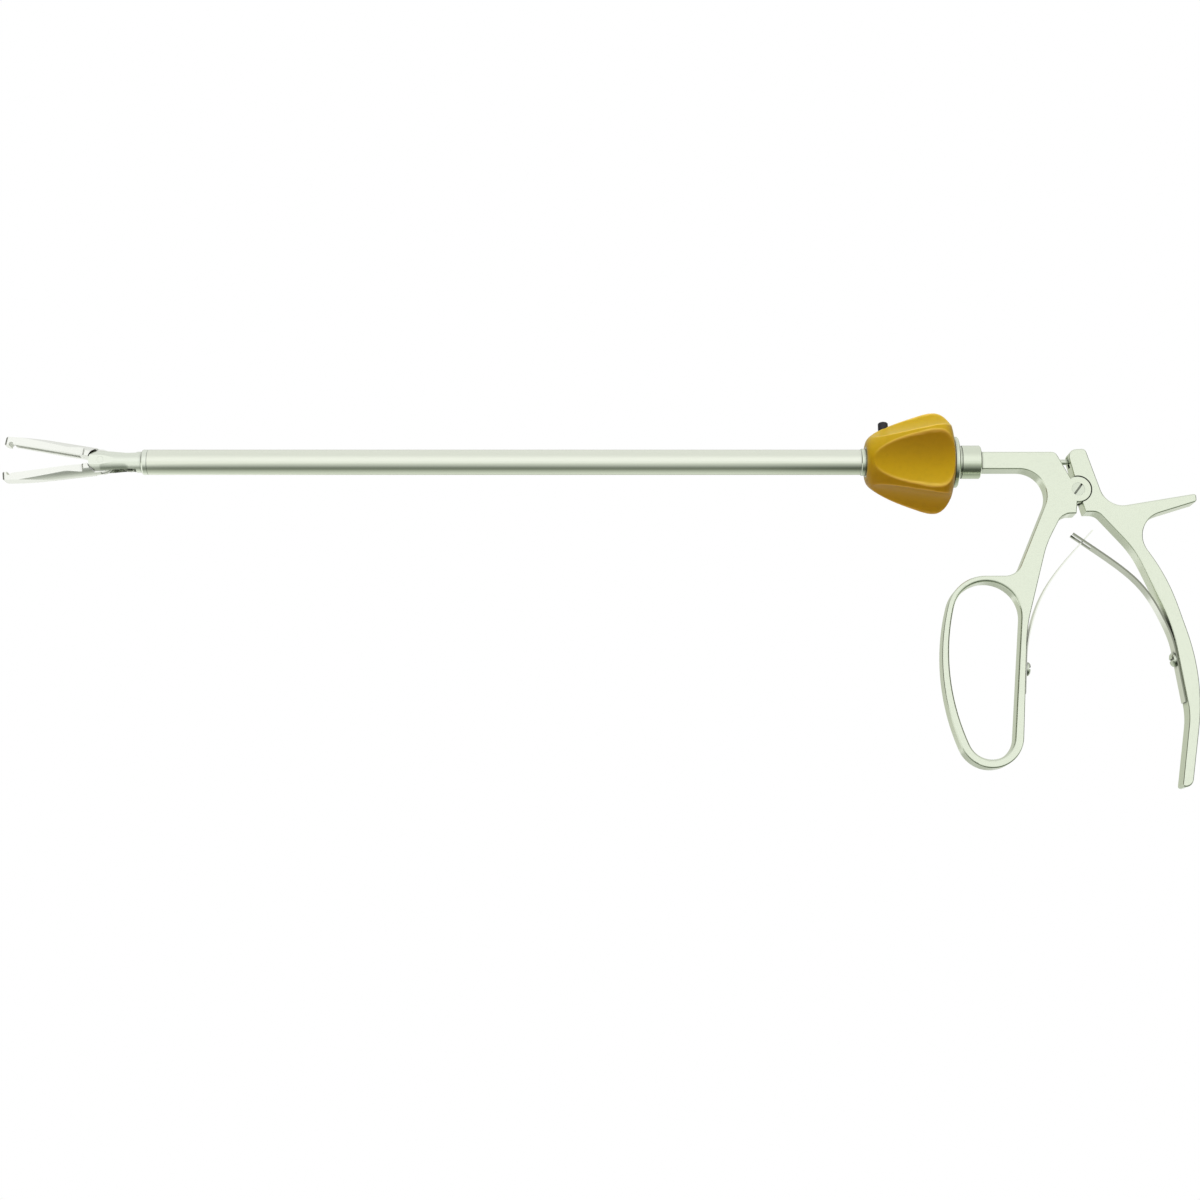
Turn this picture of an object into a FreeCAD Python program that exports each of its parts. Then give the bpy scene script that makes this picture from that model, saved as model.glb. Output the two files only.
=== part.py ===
import FreeCAD, Part
import math
import os
from FreeCAD import Vector

# Clip applier with a 10 mm shaft. Millimetres, +Z up, the shaft along X and the jaws towards -X.
# The origin is on the shaft axis, where the bare shaft meets the collar of the rotation knob.
# The jaws are open and the handles apart, as they rest when nothing is squeezed.

# Shaft
shaft_radius = 5.0
shaft_length = 281.8
tube_wall = 0.6
tube_seat_radius = 4.8
tube_socket_end = 12.0
rod_radius = 2.0

# Fits
seat_gap = 0.03
running_gap = 0.06
face_gap = 0.1

# Lever motion
pivot_x = 84.8
pivot_drop = 11.9
lever_travel = 20.0
upper_jaw_angle = 9.4
lower_jaw_angle = 6.8

# Jaw yoke
shoulder_length = 2.4
shoulder_round = 0.7
shoulder_front_radius = 4.2
yoke_plug_length = 8.0
neck_radius = 4.0
neck_flare = 0.4
neck_waist = 6.0
nose_radius = 4.7
pin_reach = 16.0
cheek_half_width = 4.3
fork_half_gap = 2.4
fork_web = 2.2
jaw_pin_radius = 1.25

# Jaws
jaw_length = 39.2
jaw_round = 5.1
jaw_tip_height = 3.4
jaw_tip_half_width = 2.8
jaw_half_width = 4.2
jaw_inner_gap = 0.75
jaw_lip_gap = 0.2
jaw_lip_length = 2.8
jaw_scoop_start = 6.8
jaw_scoop_end = 13.5
jaw_scoop_half_width = 3.3
shoulder_gap = 0.45
hub_radius = 4.5
hub_inner_radius = 4.2
bridge_length = 8.0
tail_wall = 0.8
channel_width = 3.2
channel_depth = 0.8
channel_start = 9.0
notch_radius = 0.9

# Cam pin that works the jaws
cam_pin_radius = 1.0
cam_pin_rest = 6.6
blade_thickness = 1.4
blade_length = 8.0
slot_gap = 0.1

# Rotation knob and its collar
collar_length = 1.9
collar_radius = 5.35
knob_rear = 36.1
knob_nose_radius = 7.4
knob_top_radius = 20.9
knob_rear_radius = 10.4
flute_count = 5
flute_radius = 20.0
flute_nose = 5.0
flute_nose_depth = 10.9
flute_slope = 9.0
ridge_angle = 98.6

# Spindle, flange and seals
spindle_radius = 6.0
journal_radius = 4.4
flange_radius = 10.1
flange_length = 1.9
seal_pocket_radius = 3.4
seal_width = 1.4
seal_count = 2
gland_length = 1.8

# Coupling sleeve and retaining ring
sleeve_radius = 6.6
sleeve_length = 8.9
sleeve_floor = 2.6
sleeve_groove_depth = 0.3
sleeve_groove_width = 0.6
ring_offset = 3.2
ring_width = 1.0
ring_rise = 0.8
ring_depth = 0.5
ring_mouth = 50.0

# Flush port and cap
port_x = 9.6
port_radius = 1.5
port_bore_radius = 0.7
port_rise = 1.9
cap_radius = 2.1
cap_rise = 3.0
cap_sink = 2.5
cap_grip = 0.25

# Handles
handle_thickness = 8.0
edge_round = 0.6
ring_edge_round = 1.1
bar_above = 3.3
bar_below = 3.8
boss_radius = 5.3
tongue_radius = 5.0
tongue_thickness = 3.4
recess_gap = 0.15
stop_reach = 9.9
stop_angle = 15.1
stop_spare_angle = 1.3

# Finger ring
ring_back = 37.6
ring_drop = 50.4
ring_height = 47.2
ring_shift = 0.2
ring_top_radius = 13.2
ring_bottom_radius = 9.1
ring_bulge_radius = 86.0
ring_top_wall = 2.4
ring_bottom_wall = 3.4
ring_side_wall = 2.6

# Pivot screw
pivot_head_radius = 2.55
pivot_head_height = 1.25
pivot_shank_radius = 1.9
pivot_thread_radius = 1.5
driver_slot_width = 0.8
driver_slot_depth = 0.6
driver_slot_angle = 53.0

# Rod end in the handles
bar_bore_gap = 0.3
ball_radius = 2.3
ball_gap = 0.1
ball_neck_radius = 1.1
stud_radius = 0.8
stud_depth = 5.0
nut_radius = 2.2
nut_length = 2.0
nut_back = 12.0
nut_room = 0.4

# Leaf springs
front_spring_thickness = 0.5
rear_spring_thickness = 0.7
spring_width = 5.5
spring_tip_width = 2.0
spring_tip_length = 10.0
fork_slot_width = 2.9
fork_slot_length = 9.0
front_spring_foot = 10.0
rear_spring_foot = 17.0
spring_seat = 4.0
spring_screw_radius = 2.7
spring_screw_height = 1.5
spring_shank_radius = 1.0
spring_screw_depth = 1.7
front_screw_drop = 19.6
rear_screw_rise = 22.0

# Worked out from the sizes above
tube_bore = shaft_radius - tube_wall
shoulder_x = -shaft_length - shoulder_length
jaw_pin_x = shoulder_x - pin_reach
pull = pivot_drop * math.tan(math.radians(lever_travel))
slot_half_width = cam_pin_radius + slot_gap
plate_outer = fork_half_gap - face_gap
plate_inner = blade_thickness / 2 + face_gap
flange_end = knob_rear + flange_length
sleeve_start = flange_end + face_gap
sleeve_end = sleeve_start + sleeve_length
journal_end = sleeve_end - sleeve_floor - 2 * face_gap
half_plate = handle_thickness / 2
half_tongue = tongue_thickness / 2
half_ear_gap = half_tongue + face_gap
rod_end = pivot_x - nut_back
fixed_stop = stop_angle - lever_travel - stop_spare_angle
knob_at_port = 0.665 * knob_top_radius
port_top = knob_at_port + port_rise
cap_top = knob_at_port + cap_rise
cap_base = knob_at_port - cap_sink
port_foot = tube_seat_radius + 4 * face_gap

parts = {}


def at(x, z, y=0.0):
    return Vector(x, y, z)


def cylinder(radius, x0, x1):
    """Round bar along the shaft axis from x0 to x1."""
    return Part.makeCylinder(radius, x1 - x0, Vector(x0, 0, 0), Vector(1, 0, 0))


def tube(outer, inner, x0, x1):
    return cylinder(outer, x0, x1).cut(cylinder(inner, x0 - 1, x1 + 1))


def crosswise(radius, x, z, y0, y1):
    """Round bar across the tool, along Y, from y0 to y1."""
    return Part.makeCylinder(radius, y1 - y0, Vector(x, y0, z), Vector(0, 1, 0))


def block(x0, x1, y0, y1, z0, z1):
    return Part.makeBox(x1 - x0, y1 - y0, z1 - z0, Vector(x0, y0, z0))


def rounded_outline(corners):
    """Closed outline in the side plane from (x, z, radius) corners, each rounded by a tangent arc."""
    count = len(corners)
    starts = []
    middles = []
    ends = []
    for i, (x, z, radius) in enumerate(corners):
        here = at(x, z)
        to_before = (at(*corners[i - 1][:2]) - here).normalize()
        to_after = (at(*corners[(i + 1) % count][:2]) - here).normalize()
        half = to_before.getAngle(to_after) / 2
        inward = (to_before + to_after).normalize() if radius > 0 else Vector()
        starts.append(here + to_before * (radius / math.tan(half)))
        middles.append(here + inward * (radius / math.sin(half) - radius))
        ends.append(here + to_after * (radius / math.tan(half)))
    edges = []
    for i in range(count):
        if corners[i][2] > 0:
            edges.append(Part.Arc(starts[i], middles[i], ends[i]).toShape())
        following = starts[(i + 1) % count]
        if (following - ends[i]).Length > 1e-4:
            edges.append(Part.LineSegment(ends[i], following).toShape())
    return Part.Wire(edges)


def plate(outline, y0, y1):
    """Flat plate between y0 and y1 with the outline of a wire or face in the side plane."""
    face = outline if outline.ShapeType == "Face" else Part.Face(outline)
    return face.translated(Vector(0, y0, 0)).extrude(Vector(0, y1 - y0, 0))


def turned(wire):
    """Solid of revolution about the shaft axis."""
    return Part.Face(wire).revolve(Vector(0, 0, 0), Vector(1, 0, 0), 360)


def around_shaft(shape, angle):
    """Turns a shape that was made straight up to an angle that counts from -Y upwards."""
    return shape.rotated(Vector(0, 0, 0), Vector(1, 0, 0), 90 - angle)


def around_pivot(angle, distance):
    """Point at a distance from the pivot, at an angle from straight down, positive towards +X."""
    turn = math.radians(angle)
    return pivot_x + distance * math.sin(turn), -pivot_drop - distance * math.cos(turn)


def from_pivot(dx, dz):
    return pivot_x + dx, dz - pivot_drop


def flat_rims(solid):
    """Edges of a handle plate where its flat sides meet its rim."""
    return [e for e in solid.Edges if e.BoundBox.YLength < 1e-3 and abs(abs(e.BoundBox.Center.y) - half_plate) < 1e-3]


def is_beside(edge, box):
    """True where an edge lies in the box of a hole, seen from the side."""
    own = edge.BoundBox
    across = box.XMin - edge_round < own.XMin and own.XMax < box.XMax + edge_round
    return across and box.ZMin - edge_round < own.ZMin and own.ZMax < box.ZMax + edge_round


def slotted_screw(head_radius, head_height, shank_radius, shank_length, slot_angle):
    """Screw that points up: the head sits on the origin's plane and the shank hangs below it."""
    head = Part.makeCylinder(head_radius, head_height)
    crown = [e for e in head.Edges if e.BoundBox.ZMin > head_height / 2]
    head = head.makeChamfer(head_height * 0.35, crown)
    slot = Part.makeBox(
        4 * head_radius,
        driver_slot_width,
        driver_slot_depth,
        Vector(-2 * head_radius, -driver_slot_width / 2, head_height - driver_slot_depth),
    )
    slot.rotate(Vector(0, 0, 0), Vector(0, 0, 1), slot_angle)
    shank = Part.makeCylinder(shank_radius, shank_length + head_height / 4, Vector(0, 0, -shank_length))
    return head.cut(slot).fuse(shank)


def stood_on(shape, foot, direction):
    """Moves a shape that points up so that it stands on a foot point along a direction."""
    shape = shape.copy()
    shape.Placement = FreeCAD.Placement(foot, FreeCAD.Rotation(Vector(0, 0, 1), direction))
    return shape


# Jaw end of the shaft


def port_channel():
    """Narrow flush channel from the port through the spindle and the shaft wall."""
    channel = Part.makeCylinder(port_bore_radius, port_top, Vector(port_x, 0, tube_bore - 1))
    return around_shaft(channel, ridge_angle)


def make_outer_tube():
    """Bare shaft, turned down a little where it sits in the barrel."""
    seat = tube(tube_seat_radius, tube_bore, -1, tube_socket_end)
    return tube(shaft_radius, tube_bore, -shaft_length, 0).fuse(seat).removeSplitter().cut(port_channel())


def make_jaw_yoke():
    """Fork in the end of the shaft: plug, rounded shoulder, waisted neck and two cheeks."""
    plug_radius = tube_bore - seat_gap
    plug_end = yoke_plug_length - shaft_length
    nose_x = jaw_pin_x - nose_radius
    body = turned(
        rounded_outline(
            [
                (plug_end, 0, 0),
                (plug_end, plug_radius, 0.4),
                (-shaft_length, plug_radius, 0),
                (-shaft_length, shaft_radius, shoulder_round / 2),
                (shoulder_x, shaft_radius, shoulder_round),
                (shoulder_x, shoulder_front_radius, 0),
                (shoulder_x - neck_waist, neck_radius, 3 * neck_waist),
                (jaw_pin_x + nose_radius, neck_radius + neck_flare, 2 * neck_waist),
                (jaw_pin_x, nose_radius, nose_radius),
                (nose_x, nose_radius, 0),
                (nose_x, 0, 0),
            ]
        )
    )
    ahead = block(nose_x - 1, jaw_pin_x, -9, 9, -9, 9)
    body = body.cut(ahead.cut(crosswise(nose_radius, jaw_pin_x, 0, -9, 9)))
    body = body.cut(block(nose_x - 1, shoulder_x, -9, -cheek_half_width, -9, 9))
    body = body.cut(block(nose_x - 1, shoulder_x, cheek_half_width, 9, -9, 9))
    body = body.cut(block(nose_x - 1, shoulder_x - fork_web, -fork_half_gap, fork_half_gap, -9, 9))
    body = body.cut(cylinder(rod_radius + running_gap, nose_x, plug_end + 1))
    return body.cut(crosswise(jaw_pin_radius + seat_gap, jaw_pin_x, 0, -9, 9))


def make_jaw_pin():
    return crosswise(jaw_pin_radius, jaw_pin_x, 0, -cheek_half_width, cheek_half_width)


def jaw_front():
    """Blade of the upper jaw, shut, with the jaw pin at the origin and the tip towards -X."""
    width = 2 * jaw_round
    lip_x = jaw_lip_length - jaw_length
    side = plate(
        rounded_outline(
            [
                (-3, jaw_inner_gap, 0),
                (lip_x, jaw_inner_gap + 0.2, 0.6),
                (lip_x - 0.5, jaw_lip_gap, 0.2),
                (-jaw_length, jaw_lip_gap, 0.4),
                (-jaw_length, jaw_tip_height, 1.3),
                (-jaw_length / 2, jaw_round + 0.1, 120),
                (-3, jaw_round + 0.1, 0),
            ]
        ),
        -width,
        width,
    )
    half = [
        (-1, cheek_half_width, 0),
        (-jaw_scoop_start, cheek_half_width, 0.3),
        (-jaw_scoop_start - 0.5, jaw_scoop_half_width, 1.0),
        (-jaw_scoop_end, jaw_half_width, 12.0),
        (-jaw_length, jaw_tip_half_width, 1.6),
    ]
    other = [(x, -w, r) for x, w, r in reversed(half)]
    plan = plate(rounded_outline(half + other), -width, width)
    plan.rotate(Vector(0, 0, 0), Vector(1, 0, 0), 90)
    blade = side.common(plan).common(cylinder(jaw_round, -jaw_length - 1, 0))
    blade = blade.cut(crosswise(nose_radius + shoulder_gap, 0, 0, -width, width))
    channel = block(
        lip_x - 0.4, -channel_start, -channel_width / 2, channel_width / 2, 0, jaw_inner_gap + channel_depth
    )
    notch = crosswise(notch_radius, lip_x, jaw_inner_gap, -width, width)
    return blade.cut(channel).cut(notch)


def cam_outline(angle, half):
    """Outline at a distance from the path of the cam pin, as a jaw that shuts by an angle sees the pin."""
    path = []
    for share in (0.0, 0.5, 1.0):
        distance = cam_pin_rest + share * pull
        turn = math.radians(angle * (1 - share))
        path.append(at(distance * math.cos(turn), distance * math.sin(turn)))
    centre = Part.Arc(*path).toShape().Curve.Center
    first, last = [(p - centre) for p in (path[0], path[2])]
    inner, outer = [], []
    for p in path:
        away = (p - centre).normalize()
        inner.append(p - away * half)
        outer.append(p + away * half)
    before = (path[0] - path[1]).normalize()
    after = (path[2] - path[1]).normalize()
    cap_first = path[0] + (before - first.normalize() * before.dot(first.normalize())).normalize() * half
    cap_last = path[2] + (after - last.normalize() * after.dot(last.normalize())).normalize() * half
    return Part.Wire(
        [
            Part.Arc(*outer).toShape(),
            Part.Arc(outer[2], cap_last, inner[2]).toShape(),
            Part.Arc(inner[2], inner[1], inner[0]).toShape(),
            Part.Arc(inner[0], cap_first, outer[0]).toShape(),
        ]
    )


def jaw_tail(angle):
    """Slotted tail of a shut jaw, which stays within the neck's outline while the jaw is open."""
    half = slot_half_width + tail_wall
    web = block(0, cam_pin_rest, plate_inner, plate_outer, -half, half)
    web.rotate(Vector(0, 0, 0), Vector(0, 1, 0), -angle)
    neck = cylinder(neck_radius, 0, jaw_length)
    neck.rotate(Vector(0, 0, 0), Vector(0, 1, 0), -angle)
    tail = plate(cam_outline(angle, half), plate_inner, plate_outer).fuse(web).common(neck)
    return tail.cut(plate(cam_outline(angle, slot_half_width), 0, plate_outer + 1))


def shut_jaw(angle):
    """Upper jaw, shut: blade, hub on the pin and slotted tail, on the far half of the fork."""
    hub = crosswise(hub_inner_radius, 0, 0, face_gap / 2, plate_inner)
    hub = hub.fuse(crosswise(hub_radius, 0, 0, plate_inner, plate_outer))
    bridge = block(-bridge_length, -0.5, face_gap / 2, plate_outer, jaw_inner_gap, jaw_round)
    bridge = bridge.common(cylinder(jaw_round, -bridge_length - 1, 0))
    jaw = jaw_front().fuse([bridge, hub, jaw_tail(angle)])
    return jaw.cut(crosswise(jaw_pin_radius + running_gap, 0, 0, -1, plate_outer + 1)).removeSplitter()


def make_upper_jaw():
    jaw = shut_jaw(upper_jaw_angle).rotated(Vector(0, 0, 0), Vector(0, 1, 0), upper_jaw_angle)
    return jaw.translated(Vector(jaw_pin_x, 0, 0))


def make_lower_jaw():
    jaw = shut_jaw(lower_jaw_angle).rotated(Vector(0, 0, 0), Vector(1, 0, 0), 180)
    jaw = jaw.rotated(Vector(0, 0, 0), Vector(0, 1, 0), -lower_jaw_angle)
    return jaw.translated(Vector(jaw_pin_x, 0, 0))


# Drive rod


def make_drive_rod():
    """Rod from the cam pin to the handles, with a flat blade in front and a hole for the stud behind."""
    cam_x = jaw_pin_x + cam_pin_rest
    blade_end = cam_x + blade_length
    blade_round = math.sqrt(rod_radius**2 - (blade_thickness / 2) ** 2)
    rod = cylinder(rod_radius, cam_x - blade_round, rod_end)
    for side in (-1, 1):
        waste = block(cam_x - 9, blade_end, blade_thickness / 2, 9, -9, 9)
        if side < 0:
            waste = waste.mirror(Vector(0, 0, 0), Vector(0, 1, 0))
        rod = rod.cut(waste)
    nose = block(cam_x - 9, cam_x, -9, 9, -9, 9).cut(crosswise(blade_round, cam_x, 0, -9, 9))
    rod = rod.cut(nose).cut(crosswise(cam_pin_radius + seat_gap, cam_x, 0, -9, 9))
    return rod.cut(cylinder(stud_radius + seat_gap, rod_end - stud_depth - seat_gap, rod_end + 1))


def make_cam_pin():
    return crosswise(cam_pin_radius, jaw_pin_x + cam_pin_rest, 0, -plate_outer, plate_outer)


def make_ball_stud():
    stud = cylinder(stud_radius, rod_end - stud_depth, rod_end)
    neck = cylinder(ball_neck_radius, rod_end, pivot_x)
    return stud.fuse([neck, Part.makeSphere(ball_radius, Vector(pivot_x, 0, 0))]).removeSplitter()


def make_lock_nut():
    corners = []
    for i in range(6):
        turn = math.radians(60 * i)
        corners.append(Vector(rod_end, nut_radius * math.cos(turn), nut_radius * math.sin(turn)))
    hexagon = Part.Face(Part.makePolygon(corners + corners[:1]))
    nut = hexagon.extrude(Vector(nut_length, 0, 0))
    return nut.cut(cylinder(ball_neck_radius + seat_gap, rod_end - 1, rod_end + nut_length + 1))


# Rotating barrel


def make_front_collar():
    collar = tube(collar_radius, tube_seat_radius + seat_gap, 0, collar_length)
    rim = [e for e in collar.Edges if e.BoundBox.XMax < 0.01 and e.BoundBox.ZLength > 2 * shaft_radius + 0.2]
    return collar.makeChamfer(0.2, rim)


def make_rotation_knob():
    """Dome-shaped knob with scooped flutes, and a pocket in one ridge for the port cap."""
    swell = [
        (3.0, 0.460),
        (4.6, 0.525),
        (8.1, 0.630),
        (16.2, 0.813),
        (22.2, 0.919),
        (28.3, 0.995),
        (31.0, 0.981),
        (33.1, 0.904),
        (34.6, 0.775),
        (35.5, 0.615),
    ]
    first, last = at(collar_length, knob_nose_radius), at(knob_rear, knob_rear_radius)
    crown = Part.BSplineCurve()
    crown.interpolate([first] + [at(x, share * knob_top_radius) for x, share in swell] + [last])
    sides = Part.makePolygon([last, at(knob_rear, 0), at(collar_length, 0), first])
    knob = turned(Part.Wire([crown.toShape()] + sides.Edges))
    reach = 2 * knob_rear
    axis_start = Vector(flute_nose, 0, flute_nose_depth + flute_radius)
    cutter = Part.makeCylinder(flute_radius, 2 * reach, axis_start - Vector(reach, 0, 0), Vector(1, 0, 0))
    cutter.rotate(axis_start, Vector(0, 1, 0), -flute_slope)
    step = 360.0 / flute_count
    for i in range(flute_count):
        knob = knob.cut(around_shaft(cutter, ridge_angle + (i + 0.5) * step))
    knob = knob.cut(cylinder(spindle_radius + seat_gap, 0, knob_rear + 1))
    hole = Part.makeCylinder(port_radius + face_gap, knob_top_radius, Vector(port_x, 0, 0))
    pocket = Part.makeCylinder(cap_radius + 3 * face_gap, knob_top_radius, Vector(port_x, 0, cap_base - face_gap))
    return knob.cut(around_shaft(hole.fuse(pocket), ridge_angle))


def make_barrel_spindle():
    """Core of the barrel: socket for the shaft, seal pocket, knob seat and journal with its groove."""
    body = cylinder(spindle_radius, collar_length, flange_end)
    body = body.fuse(cylinder(journal_radius, flange_end - 1, journal_end))
    pocket_end = tube_socket_end + gland_length + seal_count * seal_width
    body = body.cut(cylinder(tube_seat_radius + seat_gap, 0, tube_socket_end))
    body = body.cut(cylinder(seal_pocket_radius, tube_socket_end - 1, pocket_end))
    body = body.cut(cylinder(rod_radius + running_gap, 0, journal_end + 1))
    groove_x = sleeve_start + ring_offset
    groove = tube(
        journal_radius + 1, journal_radius - ring_depth, groove_x - face_gap, groove_x + ring_width + face_gap
    )
    seat = Part.makeCylinder(port_radius + seat_gap, spindle_radius, Vector(port_x, 0, port_foot - face_gap))
    return body.cut(groove).cut(around_shaft(seat, ridge_angle)).cut(port_channel())


def make_rear_flange():
    flange = tube(flange_radius, spindle_radius + seat_gap, knob_rear, flange_end)
    rims = [e for e in flange.Edges if e.BoundBox.ZLength > 2 * flange_radius - 0.1 and e.BoundBox.XLength < 0.01]
    return flange.makeChamfer(0.3, rims)


def make_gland_nut():
    outer = seal_pocket_radius - seat_gap
    return tube(outer, rod_radius + running_gap, tube_socket_end, tube_socket_end + gland_length)


def make_rod_seals():
    """Seal rings on the rod, side by side in the pocket of the spindle."""
    rings = []
    start = tube_socket_end + gland_length
    for i in range(seal_count):
        x = start + i * seal_width
        rings.append(tube(seal_pocket_radius - seat_gap, rod_radius + seat_gap, x + 0.05, x + seal_width - 0.05))
    return Part.makeCompound(rings)


def make_flush_port():
    stub = Part.makeCylinder(port_radius, port_top - port_foot, Vector(port_x, 0, port_foot))
    return around_shaft(stub, ridge_angle).cut(port_channel())


def make_port_cap():
    """Push-on cap of the port, a little narrower at the top."""
    body = Part.makeCone(cap_radius, cap_radius - cap_grip / 2, cap_top - cap_base, Vector(port_x, 0, cap_base))
    crown = [e for e in body.Edges if e.BoundBox.ZMin > cap_top - 0.01]
    body = body.makeChamfer(0.3, crown)
    bore = Part.makeCylinder(
        port_radius + running_gap, port_top + face_gap - cap_base + 1, Vector(port_x, 0, cap_base - 1)
    )
    return around_shaft(body.cut(bore), ridge_angle)


# Handles


def tangent_loop(top, top_radius, bottom, bottom_radius, bulge_radius):
    """Closed loop of two round ends, a straight right side and a bulging left side, with its right side's ends."""
    along = (bottom - top).normalize()
    across = Vector(-along.z, 0, along.x)
    height = (bottom - top).Length
    lean = math.acos((top_radius - bottom_radius) / height)
    normal = along * math.cos(lean) + across * math.sin(lean)
    right_top = top + normal * top_radius
    right_bottom = bottom + normal * bottom_radius
    to_top = bulge_radius - top_radius
    to_bottom = bulge_radius - bottom_radius
    down = (height**2 + to_top**2 - to_bottom**2) / (2 * height)
    centre = top + along * down + across * math.sqrt(to_top**2 - down**2)
    left_top = top + (top - centre).normalize() * top_radius
    left_bottom = bottom + (bottom - centre).normalize() * bottom_radius
    left_middle = centre + ((left_top + left_bottom) * 0.5 - centre).normalize() * bulge_radius
    loop = Part.Wire(
        [
            Part.Arc(left_top, top - along * top_radius, right_top).toShape(),
            Part.LineSegment(right_top, right_bottom).toShape(),
            Part.Arc(right_bottom, bottom + along * bottom_radius, left_bottom).toShape(),
            Part.Arc(left_bottom, left_middle, left_top).toShape(),
        ]
    )
    return loop, right_top, right_bottom


def ring_loops():
    """Inner and outer loop of the finger ring, and the ends of the straight side that faces the lever."""
    top = at(*from_pivot(-ring_back, -ring_drop))
    bottom = top - at(ring_shift, ring_height)
    hole = tangent_loop(top, ring_top_radius, bottom, ring_bottom_radius, ring_bulge_radius)[0]
    outer, right_top, right_bottom = tangent_loop(
        top,
        ring_top_radius + ring_top_wall,
        bottom,
        ring_bottom_radius + ring_bottom_wall,
        ring_bulge_radius + ring_side_wall,
    )
    return hole, outer, right_top, right_bottom, top


def rod_tunnel():
    """Bore for the rod through the bar, wider where its lock nut travels."""
    tunnel = cylinder(rod_radius + bar_bore_gap, sleeve_start, rod_end)
    return tunnel.fuse(cylinder(nut_radius + nut_room, rod_end - nut_room, pivot_x))


def make_fixed_handle():
    """Handle plate with the bar on the shaft axis, the arm, the finger ring and the two pivot ears."""
    hole, outer, right_top, right_bottom, ring_top = ring_loops()
    down = (right_bottom - right_top).normalize()
    foot = right_top + down * 3.5
    inside = right_top + down * 12.0
    arch = ring_top_radius + ring_top_wall
    arm = rounded_outline(
        [
            (sleeve_end, bar_above, 0),
            (pivot_x - 8.3, bar_above, 2.5),
            (*from_pivot(-2.7, 4.4), 0),
            (*around_pivot(fixed_stop, boss_radius / 2), 0),
            (*around_pivot(fixed_stop, stop_reach), 0.3),
            (*from_pivot(-6.7, -10.0), 6.0),
            (*from_pivot(-13.2, -21.9), 40.0),
            (foot.x, foot.z, 60.0),
            (inside.x, inside.z, 0),
            (ring_top.x, ring_top.z, 0),
            (ring_top.x, ring_top.z + arch, 0),
            (pivot_x - 25.5, ring_top.z + arch, 7.0),
            (pivot_x - 7.0, -bar_below, 10.4),
            (sleeve_end, -bar_below, 0),
        ]
    )
    boss = Part.Wire(Part.Circle(at(pivot_x, -pivot_drop), Vector(0, 1, 0), boss_radius).toShape())
    face = Part.Face(arm).fuse([Part.Face(outer), Part.Face(boss)]).removeSplitter()
    body = plate(face.Faces[0], -half_plate, half_plate).cut(plate(hole, -half_plate - 1, half_plate + 1))
    body = body.makeFillet(edge_round, [e for e in flat_rims(body) if not is_beside(e, hole.BoundBox)])
    body = body.makeFillet(ring_edge_round, [e for e in flat_rims(body) if is_beside(e, hole.BoundBox)])
    body = body.cut(crosswise(boss_radius + recess_gap, pivot_x, -pivot_drop, -half_ear_gap, half_ear_gap))
    body = body.cut(rod_tunnel())
    body = body.cut(pivot_screw(seat_gap))
    return body.cut(spring_screw_hole(*front_spring_seat()))


def pivot_screw(spare):
    """Pivot screw with a spare all round: its own shape at zero, its hole in the ears above that."""
    head_start = -half_plate + 0.05
    head = crosswise(pivot_head_radius + spare, pivot_x, -pivot_drop, head_start, head_start + pivot_head_height)
    if spare > 0:
        head = crosswise(
            pivot_head_radius + spare, pivot_x, -pivot_drop, -half_plate - 1, head_start + pivot_head_height
        )
    shank = crosswise(pivot_shank_radius + spare, pivot_x, -pivot_drop, head_start + 1, half_ear_gap)
    thread = crosswise(pivot_thread_radius + spare, pivot_x, -pivot_drop, 0, half_plate + (1 if spare > 0 else -0.1))
    return head.fuse([shank, thread]).removeSplitter()


def make_pivot_screw():
    slot = block(
        pivot_x - 9,
        pivot_x + 9,
        -half_plate - 1,
        -half_plate + 0.05 + driver_slot_depth,
        -pivot_drop - driver_slot_width / 2,
        -pivot_drop + driver_slot_width / 2,
    )
    slot.rotate(at(pivot_x, -pivot_drop), Vector(0, 1, 0), -driver_slot_angle)
    return pivot_screw(0).cut(slot)


def lever_inner_corners():
    """Lower and upper corner of the straight stretch of the lever's inner side, which carries its spring."""
    return at(*from_pivot(38.9, -89.1)), at(*from_pivot(34.0, -54.6))


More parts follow.
